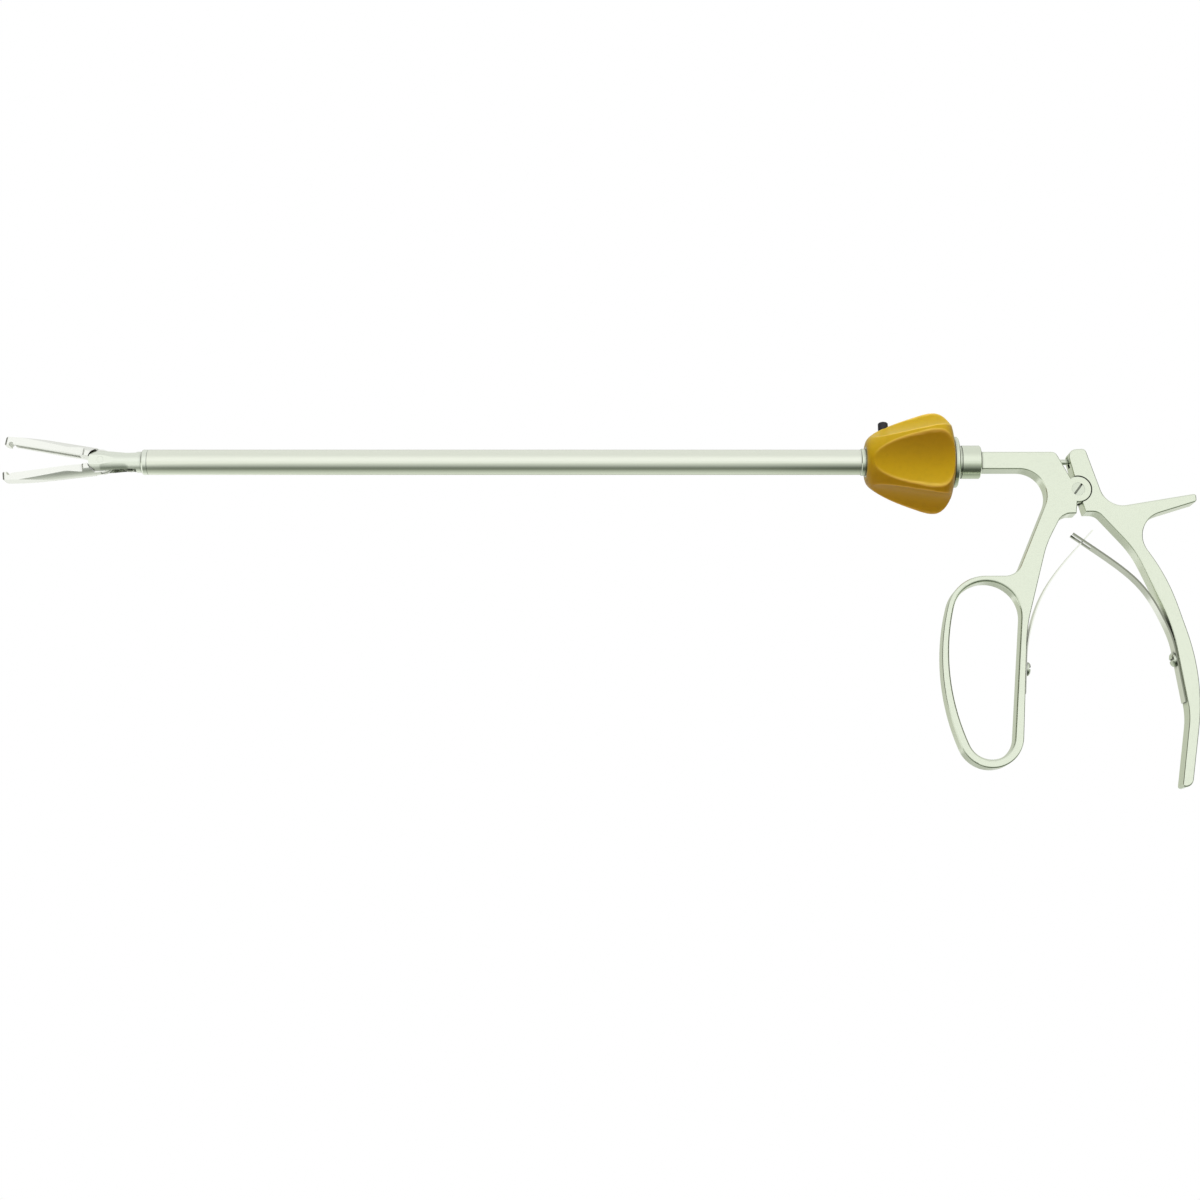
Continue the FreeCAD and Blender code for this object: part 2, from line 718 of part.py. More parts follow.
def make_moving_handle():
    """Trigger lever: tab with the ball bore, tongue between the ears, thumb spur and long curved arm."""
    low, high = lever_inner_corners()
    outline = rounded_outline(
        [
            (pivot_x, -pivot_drop, 0),
            (*from_pivot(-3.8, 16.1), 3.0),
            (*from_pivot(3.5, 16.5), 1.8),
            (*from_pivot(11.1, -7.7), 9.0),
            (*from_pivot(46.2, -1.8), 0.9),
            (*from_pivot(46.3, -5.0), 1.2),
            (*from_pivot(18.7, -13.6), 9.8),
            (*from_pivot(33.3, -35.3), 75.0),
            (*from_pivot(45.2, -75.5), 85.0),
            (*from_pivot(38.3, -117.2), 3.2),
            (*from_pivot(34.4, -117.3), 0.9),
            (low.x, low.z, 30.0),
            (high.x, high.z, 60.0),
            (*from_pivot(21.2, -24.9), 40.0),
            (*from_pivot(7.4, -9.2), 4.5),
            (*around_pivot(stop_angle, stop_reach - 0.35), 0.3),
        ]
    )
    body = plate(outline, -half_plate, half_plate)
    body = body.makeFillet(edge_round, flat_rims(body))
    for y0, y1 in ((-half_plate - 1, -half_tongue), (half_tongue, half_plate + 1)):
        body = body.cut(crosswise(boss_radius + recess_gap, pivot_x, -pivot_drop, y0, y1))
    body = body.fuse(crosswise(tongue_radius, pivot_x, -pivot_drop, -half_tongue, half_tongue)).removeSplitter()
    body = body.cut(crosswise(pivot_shank_radius + running_gap, pivot_x, -pivot_drop, -9, 9))
    floor = -ball_radius - 2 * ball_gap
    bore = Part.makeCylinder(ball_radius + ball_gap, 9 - floor, Vector(pivot_x, 0, floor))
    neck = block(
        pivot_x - 9, pivot_x, -ball_neck_radius - 2 * ball_gap, ball_neck_radius + 2 * ball_gap, floor, 9
    )
    body = body.cut(bore.fuse(neck))
    return body.cut(spring_screw_hole(*rear_spring_seat()))


# Leaf springs


def front_spring_seat():
    """Foot point of the front spring's screw, the outward normal there, and the direction up the handle."""
    right_top, right_bottom = ring_loops()[2:4]
    up = (right_top - right_bottom).normalize()
    return right_top - up * front_screw_drop, Vector(-up.z, 0, up.x) * -1, up


def rear_spring_seat():
    low, high = lever_inner_corners()
    up = (high - low).normalize()
    return low + up * rear_screw_rise, Vector(-up.z, 0, up.x), up


def spring_screw_hole(foot, normal, up):
    depth = spring_screw_depth + face_gap
    hole = Part.makeCylinder(spring_shank_radius + seat_gap, depth + 1, Vector(0, 0, -depth))
    return stood_on(hole, foot, normal)


def make_spring_screw(seat, thickness):
    foot, normal = seat[:2]
    screw = slotted_screw(spring_screw_radius, spring_screw_height, spring_shank_radius, spring_screw_depth + thickness, 90)
    return stood_on(screw, foot + normal * thickness, normal)


def spring_strip(seat, free_points, foot_length, thickness):
    """Leaf spring: a straight foot on its seat, then a free curve through the points, as a flat strip."""
    foot, normal, up = seat
    half = normal * (thickness / 2)
    middle = foot + half
    heel = middle - up * foot_length
    bend = middle + up * spring_seat
    line = Part.BSplineCurve()
    line.interpolate(Points=[bend] + free_points, InitialTangent=up, FinalTangent=free_points[-1] - free_points[-2])
    above, below = [], []
    stations = 10
    for i in range(stations + 1):
        along = line.FirstParameter + (line.LastParameter - line.FirstParameter) * i / stations
        point = line.value(along)
        heading = line.tangent(along)[0]
        aside = Vector(-heading.z, 0, heading.x) * (thickness / 2)
        above.append(point + aside)
        below.append(point - aside)
    if (above[0] - bend).dot(half) < 0:
        above, below = below, above
    upper = Part.BSplineCurve()
    upper.interpolate(above)
    lower = Part.BSplineCurve()
    lower.interpolate(below)
    outline = Part.Wire(
        [
            Part.LineSegment(heel + half, above[0]).toShape(),
            upper.toShape(),
            Part.LineSegment(above[-1], below[-1]).toShape(),
            lower.toShape(),
            Part.LineSegment(below[0], heel - half).toShape(),
            Part.LineSegment(heel - half, heel + half).toShape(),
        ]
    )
    strip = plate(outline, -spring_width / 2, spring_width / 2)
    hole = Part.makeCylinder(spring_shank_radius + 2 * seat_gap, 8, Vector(0, 0, -4))
    return strip.cut(stood_on(hole, foot, normal))


def front_spring_points():
    offsets = [(-20.9, -56.2), (-15.6, -42.2), (-6.4, -29.1), (5.6, -15.9)]
    return [at(*from_pivot(dx, dz)) for dx, dz in offsets]


def rear_spring_points():
    offsets = [(31.5, -52.6), (23.9, -39.0), (11.2, -27.5), (-2.6, -17.6)]
    return [at(*from_pivot(dx, dz)) for dx, dz in offsets]


def make_front_leaf_spring():
    """Spring of the fixed handle, with a narrow tip that passes through the fork of the other."""
    points = front_spring_points()
    strip = spring_strip(front_spring_seat(), points, front_spring_foot, front_spring_thickness)
    heading = (points[-1] - points[-2]).normalize()
    reach = 4 * spring_width
    for side in (-1, 1):
        waste = Part.makeBox(
            2 * reach, reach, spring_tip_length + reach, Vector(-reach, spring_tip_width / 2, -spring_tip_length)
        )
        if side < 0:
            waste = waste.mirror(Vector(0, 0, 0), Vector(0, 1, 0))
        strip = strip.cut(stood_on(waste, points[-1], heading))
    return strip


def make_rear_leaf_spring():
    """Spring of the lever, with a forked end that the tip of the other passes through."""
    points = rear_spring_points()
    strip = spring_strip(rear_spring_seat(), points, rear_spring_foot, rear_spring_thickness)
    heading = (points[-1] - points[-2]).normalize()
    reach = 4 * spring_width
    slot = Part.makeBox(
        2 * reach, fork_slot_width, fork_slot_length + reach, Vector(-reach, -fork_slot_width / 2, -fork_slot_length)
    )
    return strip.cut(stood_on(slot, points[-1], heading))


# Coupling between handle and barrel


def make_coupling_sleeve():
    """Sleeve on the handle bar in which the barrel turns, with a floor that the rod passes through."""
    sleeve = cylinder(sleeve_radius, sleeve_start, sleeve_end)
    rims = [e for e in sleeve.Edges if e.BoundBox.ZLength > 2 * sleeve_radius - 0.1 and e.BoundBox.XLength < 0.01]
    sleeve = sleeve.makeChamfer(0.3, rims)
    sleeve = sleeve.cut(cylinder(journal_radius + running_gap, sleeve_start - 1, sleeve_end - sleeve_floor))
    sleeve = sleeve.cut(cylinder(rod_radius + bar_bore_gap, sleeve_start, sleeve_end + 1))
    groove_x = sleeve_start + ring_offset
    room = cylinder(journal_radius + ring_rise + seat_gap, groove_x - seat_gap, groove_x + ring_width + seat_gap)
    mark_x = sleeve_start + 1.0
    mark = tube(sleeve_radius + 1, sleeve_radius - sleeve_groove_depth, mark_x, mark_x + sleeve_groove_width)
    return sleeve.cut(room).cut(mark)


def make_retaining_ring():
    """Open spring ring that keeps the journal in the sleeve."""
    groove_x = sleeve_start + ring_offset
    inner = journal_radius - ring_depth + face_gap
    ring = tube(journal_radius + ring_rise, inner, groove_x, groove_x + ring_width)
    reach = 4 * journal_radius
    half = math.radians(ring_mouth / 2)
    mouth = Part.makePolygon(
        [
            Vector(0, 0, 0),
            Vector(0, -reach * math.sin(half), -reach * math.cos(half)),
            Vector(0, reach * math.sin(half), -reach * math.cos(half)),
            Vector(0, 0, 0),
        ]
    )
    return ring.cut(Part.Face(mouth).extrude(Vector(sleeve_end + 9, 0, 0)))


parts["outer_tube"] = make_outer_tube()
parts["jaw_yoke"] = make_jaw_yoke()
parts["jaw_pin"] = make_jaw_pin()
parts["upper_jaw"] = make_upper_jaw()
parts["lower_jaw"] = make_lower_jaw()
parts["drive_rod"] = make_drive_rod()
parts["cam_pin"] = make_cam_pin()
parts["ball_stud"] = make_ball_stud()
parts["lock_nut"] = make_lock_nut()
parts["front_collar"] = make_front_collar()
parts["rotation_knob"] = make_rotation_knob()
parts["barrel_spindle"] = make_barrel_spindle()
parts["rear_flange"] = make_rear_flange()
parts["gland_nut"] = make_gland_nut()
parts["rod_seals"] = make_rod_seals()
parts["flush_port"] = make_flush_port()
parts["port_cap"] = make_port_cap()
parts["coupling_sleeve"] = make_coupling_sleeve()
parts["retaining_ring"] = make_retaining_ring()
parts["fixed_handle"] = make_fixed_handle()
parts["pivot_screw"] = make_pivot_screw()
parts["moving_handle"] = make_moving_handle()
parts["front_leaf_spring"] = make_front_leaf_spring()
parts["front_spring_screw"] = make_spring_screw(front_spring_seat(), front_spring_thickness)
parts["rear_leaf_spring"] = make_rear_leaf_spring()
parts["rear_spring_screw"] = make_spring_screw(rear_spring_seat(), rear_spring_thickness)

os.makedirs("parts", exist_ok=True)
for name, shape in parts.items():
    shape.exportStep(f"parts/{name}.step")
    box = shape.BoundBox
    print(
        f"{name}: solids {len(shape.Solids)}, valid {shape.isValid()}, volume {shape.Volume:.1f},"
        f" x {box.XMin:.1f}..{box.XMax:.1f}, y {box.YMin:.1f}..{box.YMax:.1f}, z {box.ZMin:.1f}..{box.ZMax:.1f}"
    )
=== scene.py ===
import math

import bmesh
import bpy
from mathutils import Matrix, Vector
from mathutils.bvhtree import BVHTree


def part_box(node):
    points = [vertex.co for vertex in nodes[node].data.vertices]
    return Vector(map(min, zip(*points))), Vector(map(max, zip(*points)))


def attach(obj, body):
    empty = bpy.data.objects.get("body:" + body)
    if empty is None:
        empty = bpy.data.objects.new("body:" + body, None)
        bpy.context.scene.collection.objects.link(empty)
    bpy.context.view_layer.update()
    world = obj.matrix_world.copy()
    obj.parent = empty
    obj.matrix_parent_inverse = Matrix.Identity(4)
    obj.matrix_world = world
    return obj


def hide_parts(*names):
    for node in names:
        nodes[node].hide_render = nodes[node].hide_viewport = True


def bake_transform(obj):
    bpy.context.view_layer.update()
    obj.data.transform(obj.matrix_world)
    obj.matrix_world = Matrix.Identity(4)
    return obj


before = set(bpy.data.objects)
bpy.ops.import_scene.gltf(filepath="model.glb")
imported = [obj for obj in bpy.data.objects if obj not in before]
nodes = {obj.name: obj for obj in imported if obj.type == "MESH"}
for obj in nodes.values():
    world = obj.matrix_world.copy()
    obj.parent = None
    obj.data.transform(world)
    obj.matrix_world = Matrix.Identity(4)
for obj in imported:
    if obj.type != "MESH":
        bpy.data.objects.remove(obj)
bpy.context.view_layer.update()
scene = bpy.context.scene
scene.view_settings.view_transform = "Standard"

# Camera: a long lens that stands 0.8 m in front of the shaft, below it and left of the handles.
# It looks up by 11.5 degrees, so the underside of the bar and of the thumb spur show a little.
PICTURE_PX = 1200.0
FOCAL_PX = 2015.0
LOOK_UP = math.radians(11.5)
SHAFT_DEPTH = 0.798
ORIGIN_PX = (860.5, 462.3)
SENSOR_MM = 36.0
NEAREST = 0.01
LEVEL = math.radians(90.0)
forward = Vector((0.0, math.cos(LOOK_UP), math.sin(LOOK_UP)))
upward = Vector((0.0, -math.sin(LOOK_UP), math.cos(LOOK_UP)))
aside = (ORIGIN_PX[0] - PICTURE_PX / 2) * SHAFT_DEPTH / FOCAL_PX
above = (PICTURE_PX / 2 - ORIGIN_PX[1]) * SHAFT_DEPTH / FOCAL_PX
camera_data = bpy.data.cameras.new("camera")
camera_data.sensor_width = SENSOR_MM
camera_data.lens = FOCAL_PX / PICTURE_PX * SENSOR_MM
camera_data.clip_start = NEAREST
camera = bpy.data.objects.new("camera", camera_data)
camera.location = -(forward * SHAFT_DEPTH + Vector((aside, 0.0, 0.0)) + upward * above)
camera.rotation_euler = (LEVEL + LOOK_UP, 0.0, 0.0)
scene.collection.objects.link(camera)
scene.camera = camera

# White room: the tool lies in a light tent. The eye sees plain white. Polished metal sees white
# in front, pale grey overhead, dark gaps at the sides and greyer cloth behind the tool. The
# light on matt pieces grows with height, and is warm from below.
WHITE = (1.0, 1.0, 1.0)
ROOM_LIGHT_LOW = 0.04
ROOM_LIGHT_HIGH = 0.50
LIGHT_RISE_START = -0.3
LIGHT_RISE_FULL = 0.7
ROOM_WARMTH_LOW = (1.0, 0.55, 0.24)
OVERHEAD_START = 0.35
OVERHEAD_FULL = 0.80
FRONT_TO_BACK = [
    (0.00, (1.00, 1.00, 1.00)),
    (0.24, (1.00, 1.00, 1.00)),
    (0.33, (0.08, 0.08, 0.06)),
    (0.66, (0.05, 0.05, 0.04)),
    (0.80, (0.30, 0.31, 0.26)),
    (0.90, (0.56, 0.58, 0.50)),
    (1.00, (0.62, 0.64, 0.56)),
]
OVERHEAD_GREY = (0.82, 0.82, 0.82)


def fill_ramp(ramp, stops):
    """Sets the stops of a colour ramp node."""
    while len(ramp.elements) < len(stops):
        ramp.elements.new(0.5)
    for element, (place, color) in zip(ramp.elements, stops):
        element.position = place
        element.color = (*color, 1.0)


def map_range(tree, low, high, to_low=0.0, to_high=1.0):
    """Node that takes values between two limits to values between two others."""
    node = tree.nodes.new("ShaderNodeMapRange")
    node.inputs["From Min"].default_value = low
    node.inputs["From Max"].default_value = high
    node.inputs["To Min"].default_value = to_low
    node.inputs["To Max"].default_value = to_high
    return node


def color_mix(tree, first=None, second=None):
    """Node that goes from one colour to another. A colour that is left out gets a link."""
    node = tree.nodes.new("ShaderNodeMix")
    node.data_type = "RGBA"
    if first is not None:
        node.inputs["A"].default_value = (*first, 1.0)
    if second is not None:
        node.inputs["B"].default_value = (*second, 1.0)
    return node


world = bpy.data.worlds.new("white_room")
scene.world = world
world.use_nodes = True
tree = world.node_tree
tree.nodes.clear()
room_out = tree.nodes.new("ShaderNodeOutputWorld")
seen = tree.nodes.new("ShaderNodeBackground")
seen.inputs["Color"].default_value = (*WHITE, 1.0)
mirrored = tree.nodes.new("ShaderNodeBackground")
lit = tree.nodes.new("ShaderNodeBackground")
path = tree.nodes.new("ShaderNodeLightPath")
heading = tree.nodes.new("ShaderNodeTexCoord")
split = tree.nodes.new("ShaderNodeSeparateXYZ")
depth = map_range(tree, -1.0, 1.0)
walls = tree.nodes.new("ShaderNodeValToRGB")
fill_ramp(walls.color_ramp, FRONT_TO_BACK)
height = map_range(tree, OVERHEAD_START, OVERHEAD_FULL)
rise = map_range(tree, LIGHT_RISE_START, LIGHT_RISE_FULL, ROOM_LIGHT_LOW, ROOM_LIGHT_HIGH)
ceiling = color_mix(tree, second=OVERHEAD_GREY)
warmth = color_mix(tree, ROOM_WARMTH_LOW, WHITE)
glossy_or_lit = tree.nodes.new("ShaderNodeMixShader")
seen_or_not = tree.nodes.new("ShaderNodeMixShader")
tree.links.new(heading.outputs["Generated"], split.inputs["Vector"])
tree.links.new(split.outputs["Y"], depth.inputs["Value"])
tree.links.new(depth.outputs["Result"], walls.inputs["Fac"])
tree.links.new(split.outputs["Z"], height.inputs["Value"])
tree.links.new(split.outputs["Z"], rise.inputs["Value"])
tree.links.new(rise.outputs["Result"], lit.inputs["Strength"])
tree.links.new(height.outputs["Result"], warmth.inputs["Factor"])
tree.links.new(warmth.outputs["Result"], lit.inputs["Color"])
tree.links.new(height.outputs["Result"], ceiling.inputs["Factor"])
tree.links.new(walls.outputs["Color"], ceiling.inputs["A"])
tree.links.new(ceiling.outputs["Result"], mirrored.inputs["Color"])
tree.links.new(path.outputs["Is Glossy Ray"], glossy_or_lit.inputs["Fac"])
tree.links.new(lit.outputs["Background"], glossy_or_lit.inputs[1])
tree.links.new(mirrored.outputs["Background"], glossy_or_lit.inputs[2])
tree.links.new(path.outputs["Is Camera Ray"], seen_or_not.inputs["Fac"])
tree.links.new(glossy_or_lit.outputs["Shader"], seen_or_not.inputs[1])
tree.links.new(seen.outputs["Background"], seen_or_not.inputs[2])
tree.links.new(seen_or_not.outputs["Shader"], room_out.inputs["Surface"])

# Table: a pale sheet well below the tool, white to the eye. Polished metal sees a dark stripe on
# it under the tool, which gives the shaft its dark line. The stripe is deeper to the right and
# ends short of the jaws, and the back of the sheet goes from grey on the left to white.
TABLE_DROP = 0.30
TABLE_REACH = 3.0
TABLE_PALE = (0.62, 0.47, 0.33)
TABLE_NEAR = -0.90
TABLE_FAR = 1.40
TABLE_STRIPES = [
    (0.000, (0.92, 0.93, 0.91)),
    (0.174, (0.68, 0.70, 0.66)),
    (0.272, (0.46, 0.48, 0.45)),
    (0.304, (0.32, 0.34, 0.31)),
    (0.337, (0.19, 0.21, 0.18)),
    (0.374, (0.21, 0.23, 0.19)),
    (0.415, (0.46, 0.49, 0.43)),
    (0.493, (0.66, 0.69, 0.62)),
    (0.587, (0.72, 0.75, 0.69)),
    (0.913, (1.00, 1.00, 1.00)),
]
BACK_START = 0.55
BACK_FULL = 0.85
BACK_LEFT = -1.0
BACK_RIGHT = 1.0
BACK_SHADES = [
    (0.00, (0.72, 0.74, 0.68)),
    (0.33, (0.54, 0.56, 0.50)),
    (0.56, (0.44, 0.46, 0.40)),
    (0.66, (0.64, 0.66, 0.61)),
    (0.76, (0.97, 0.98, 0.96)),
    (1.00, (1.00, 1.00, 1.00)),
]
DEEPER_START = -0.02
DEEPER_FULL = 0.06
DEEPER_BY = 1.55
STRIPES_START = -0.41
STRIPES_FULL = -0.37
STRIPES_PAST_END = (0.92, 0.93, 0.90)
table_mesh = bpy.data.meshes.new("table")
table_corners = [(-1, -1), (1, -1), (1, 1), (-1, 1)]
table_points = [(x * TABLE_REACH, y * TABLE_REACH, -TABLE_DROP) for x, y in table_corners]
table_mesh.from_pydata(table_points, [], [(0, 1, 2, 3)])
table = bpy.data.objects.new("table", table_mesh)
scene.collection.objects.link(table)
table_paint = bpy.data.materials.new("pale_sheet")
table_paint.use_nodes = True
tree = table_paint.node_tree
tree.nodes.clear()
table_out = tree.nodes.new("ShaderNodeOutputMaterial")
plain = tree.nodes.new("ShaderNodeBsdfDiffuse")
plain.inputs["Color"].default_value = (*TABLE_PALE, 1.0)
white = tree.nodes.new("ShaderNodeEmission")
stripes = tree.nodes.new("ShaderNodeEmission")
place = tree.nodes.new("ShaderNodeTexCoord")
split = tree.nodes.new("ShaderNodeSeparateXYZ")
span = map_range(tree, TABLE_NEAR, TABLE_FAR)
shade = tree.nodes.new("ShaderNodeValToRGB")
fill_ramp(shade.color_ramp, TABLE_STRIPES)
across = map_range(tree, BACK_LEFT, BACK_RIGHT)
back = tree.nodes.new("ShaderNodeValToRGB")
fill_ramp(back.color_ramp, BACK_SHADES)
far = map_range(tree, BACK_START, BACK_FULL)
whole = color_mix(tree)
reach = map_range(tree, STRIPES_START, STRIPES_FULL)
deeper = map_range(tree, DEEPER_START, DEEPER_FULL, 1.0, DEEPER_BY)
contrast = tree.nodes.new("ShaderNodeGamma")
beyond = color_mix(tree, STRIPES_PAST_END)
path = tree.nodes.new("ShaderNodeLightPath")
glossy_or_plain = tree.nodes.new("ShaderNodeMixShader")
seen_or_not = tree.nodes.new("ShaderNodeMixShader")
tree.links.new(place.outputs["Object"], split.inputs["Vector"])
tree.links.new(split.outputs["Y"], span.inputs["Value"])
tree.links.new(span.outputs["Result"], shade.inputs["Fac"])
tree.links.new(split.outputs["X"], reach.inputs["Value"])
tree.links.new(reach.outputs["Result"], beyond.inputs["Factor"])
tree.links.new(split.outputs["X"], across.inputs["Value"])
tree.links.new(across.outputs["Result"], back.inputs["Fac"])
tree.links.new(split.outputs["Y"], far.inputs["Value"])
tree.links.new(far.outputs["Result"], whole.inputs["Factor"])
tree.links.new(split.outputs["X"], deeper.inputs["Value"])
tree.links.new(deeper.outputs["Result"], contrast.inputs["Gamma"])
tree.links.new(shade.outputs["Color"], contrast.inputs["Color"])
tree.links.new(contrast.outputs["Color"], whole.inputs["A"])
tree.links.new(back.outputs["Color"], whole.inputs["B"])
tree.links.new(whole.outputs["Result"], beyond.inputs["B"])
tree.links.new(beyond.outputs["Result"], stripes.inputs["Color"])
tree.links.new(path.outputs["Is Glossy Ray"], glossy_or_plain.inputs["Fac"])
tree.links.new(plain.outputs["BSDF"], glossy_or_plain.inputs[1])
tree.links.new(stripes.outputs["Emission"], glossy_or_plain.inputs[2])
tree.links.new(path.outputs["Is Camera Ray"], seen_or_not.inputs["Fac"])
tree.links.new(glossy_or_plain.outputs["Shader"], seen_or_not.inputs[1])
tree.links.new(white.outputs["Emission"], seen_or_not.inputs[2])
tree.links.new(seen_or_not.outputs["Shader"], table_out.inputs["Surface"])
table_mesh.materials.append(table_paint)

# Lamps: a broad panel overhead, a little in front, which the metal does not mirror, and a weak
# panel low on the left that keeps the underside of the knob from going black.
PANELS = {
    "overhead_panel": ((-0.10, -0.60, 1.00), (31.0, 0.0, 0.0), (1.0, 0.5), 11.0),
    "low_panel": ((-0.70, -0.90, -0.20), (100.0, 0.0, -38.0), (0.8, 0.5), 1.0),
}
for lamp_name, (spot, turn, size, watts) in PANELS.items():
    lamp_data = bpy.data.lights.new(lamp_name, "AREA")
    lamp_data.shape = "RECTANGLE"
    lamp_data.size = size[0]
    lamp_data.size_y = size[1]
    lamp_data.energy = watts
    lamp = bpy.data.objects.new(lamp_name, lamp_data)
    lamp.location = spot
    lamp.rotation_euler = [math.radians(angle) for angle in turn]
    lamp.visible_glossy = False
    scene.collection.objects.link(lamp)

# Fixed handle: one plate of stainless steel, 8 mm thick, with the bar on the shaft's axis, the
# finger ring and two ears for the pivot. It is milled, rounded along its rim and satin finished.
HANDLE_STEEL = (0.800, 0.862, 0.712)
SATIN_ROUGHNESS = 0.20
ALONG_SHAFT = (0.5, 1.0, 1.0)
GRAIN_PER_METRE = 1400.0
GRAIN_DETAIL = 3.0
GRAIN_LOW = 0.30
GRAIN_HIGH = 0.52
SATIN_RELIEF = 5e-7
SMUDGE_PER_METRE = 38.0
SMUDGE_DETAIL = 4.0
SMUDGE_LOW = 0.35
SMUDGE_HIGH = 0.70
# Painted shade: ambient occlusion finds slots, gaps and inner corners, and the colour there is
# painted darker.
CREVICE_REACH = 0.0014
CREVICE_SAMPLES = 8
CREVICE_SHUT = 0.45
CREVICE_OPEN = 0.95


def finish_grain():
    """Node group: fine grain of a satin finish, drawn out along one axis, and cloudy wipe marks."""
    group = bpy.data.node_groups.new("finish_grain", "ShaderNodeTree")
    group.interface.new_socket("Stretch", in_out="INPUT", socket_type="NodeSocketVector")
    group.interface.new_socket("Grain Scale", in_out="INPUT", socket_type="NodeSocketFloat")
    group.interface.new_socket("Smudge Scale", in_out="INPUT", socket_type="NodeSocketFloat")
    group.interface.new_socket("Grain", in_out="OUTPUT", socket_type="NodeSocketFloat")
    group.interface.new_socket("Smudge", in_out="OUTPUT", socket_type="NodeSocketFloat")
    given = group.nodes.new("NodeGroupInput")
    result = group.nodes.new("NodeGroupOutput")
    place = group.nodes.new("ShaderNodeTexCoord")
    drawn = group.nodes.new("ShaderNodeVectorMath")
    drawn.operation = "MULTIPLY"
    fine = group.nodes.new("ShaderNodeTexNoise")
    fine.inputs["Detail"].default_value = GRAIN_DETAIL
    cloud = group.nodes.new("ShaderNodeTexNoise")
    cloud.inputs["Detail"].default_value = SMUDGE_DETAIL
    group.links.new(place.outputs["Object"], drawn.inputs[0])
    group.links.new(given.outputs["Stretch"], drawn.inputs[1])
    group.links.new(drawn.outputs["Vector"], fine.inputs["Vector"])
    group.links.new(given.outputs["Grain Scale"], fine.inputs["Scale"])
    group.links.new(place.outputs["Object"], cloud.inputs["Vector"])
    group.links.new(given.outputs["Smudge Scale"], cloud.inputs["Scale"])
    group.links.new(fine.outputs["Fac"], result.inputs["Grain"])
    group.links.new(cloud.outputs["Fac"], result.inputs["Smudge"])
    return group


def crevice_mask():
    """Node group: mask of the painted shade, one on open surfaces, falling to zero in slots, gaps and
    inner corners.
    """
    group = bpy.data.node_groups.new("crevice_mask", "ShaderNodeTree")
    group.interface.new_socket("Reach", in_out="INPUT", socket_type="NodeSocketFloat")
    group.interface.new_socket("Open", in_out="OUTPUT", socket_type="NodeSocketFloat")
    given = group.nodes.new("NodeGroupInput")
    result = group.nodes.new("NodeGroupOutput")
    hidden = group.nodes.new("ShaderNodeAmbientOcclusion")
    hidden.samples = CREVICE_SAMPLES
    openness = map_range(group, CREVICE_SHUT, CREVICE_OPEN)
    group.links.new(given.outputs["Reach"], hidden.inputs["Distance"])
    group.links.new(hidden.outputs["AO"], openness.inputs["Value"])
    group.links.new(openness.outputs["Result"], result.inputs["Open"])
    return group


grain_group = finish_grain()
crevice_group = crevice_mask()


def finished(
    name,
    color,
    roughness,
    stretch,
    grain,
    relief,
    metallic=1.0,
    darker=0.97,
    spread=0.05,
    painted_shade=0.12,
):
    """Material whose grain changes its tone, gloss and surface a little, with dark crevices.

    The grain has a scale per metre and a relief in metres. In its hollows the colour is darker
    by a factor, smudges make the gloss spread, and in crevices a painted shade brings the colour down
    to a given share of it.
    """
    material = bpy.data.materials.new(name)
    material.use_nodes = True
    tree = material.node_tree
    shader = tree.nodes["Principled BSDF"]
    shader.inputs["Metallic"].default_value = metallic
    marks = tree.nodes.new("ShaderNodeGroup")
    marks.node_tree = grain_group
    marks.inputs["Stretch"].default_value = stretch
    marks.inputs["Grain Scale"].default_value = grain
    marks.inputs["Smudge Scale"].default_value = SMUDGE_PER_METRE
    tone = color_mix(tree, [c * darker for c in color], color)
    hollows = map_range(tree, GRAIN_LOW, GRAIN_HIGH)
    # Painted shade: the colour is darkened in crevices found by ambient occlusion.
    crevices = tree.nodes.new("ShaderNodeGroup")
    crevices.node_tree = crevice_group
    crevices.inputs["Reach"].default_value = CREVICE_REACH
    shaded = color_mix(tree, [c * painted_shade for c in color])
    gloss = map_range(tree, SMUDGE_LOW, SMUDGE_HIGH, roughness, roughness + spread)
    bump = tree.nodes.new("ShaderNodeBump")
    bump.inputs["Distance"].default_value = relief
    tree.links.new(marks.outputs["Grain"], hollows.inputs["Value"])
    tree.links.new(hollows.outputs["Result"], tone.inputs["Factor"])
    tree.links.new(crevices.outputs["Open"], shaded.inputs["Factor"])
    tree.links.new(tone.outputs["Result"], shaded.inputs["B"])
    tree.links.new(shaded.outputs["Result"], shader.inputs["Base Color"])
    tree.links.new(marks.outputs["Smudge"], gloss.inputs["Value"])
    tree.links.new(gloss.outputs["Result"], shader.inputs["Roughness"])
    tree.links.new(marks.outputs["Grain"], bump.inputs["Height"])
    tree.links.new(bump.outputs["Normal"], shader.inputs["Normal"])
    return material


def wear_finish(node, material):
    """Gives a CAD node its finish."""
    mesh = nodes[node].data
    mesh.materials.clear()
    mesh.materials.append(material)


satin_steel = finished(
    "satin_handle_steel", HANDLE_STEEL, SATIN_ROUGHNESS, ALONG_SHAFT, GRAIN_PER_METRE, SATIN_RELIEF
)
wear_finish("fixed_handle", satin_steel)

# Moving handle: the trigger, milled from the same steel plate, with the tab that pulls the rod's
# ball end, the thumb spur and the long curved arm. Its satin grain runs down the arm.
DOWN_ARM = (1.0, 1.0, 0.5)
satin_lever_steel = finished(
    "satin_lever_steel", HANDLE_STEEL, SATIN_ROUGHNESS, DOWN_ARM, GRAIN_PER_METRE, SATIN_RELIEF
)
wear_finish("moving_handle", satin_lever_steel)

# Pivot and spring screws: turned stainless screws with a driver slot. The pivot screw's head is
# sunk flush in the near ear, and the two others clamp the feet of the leaf springs.
SCREW_STEEL = (0.73, 0.79, 0.66)
EVERY_WAY = (1.0, 1.0, 1.0)
turned_steel = finished(
    "turned_screw_steel", SCREW_STEEL, roughness=0.20, stretch=EVERY_WAY, grain=2400.0, relief=4e-7
)
for screw in ("pivot_screw", "front_spring_screw", "rear_spring_screw"):
    wear_finish(screw, turned_steel)
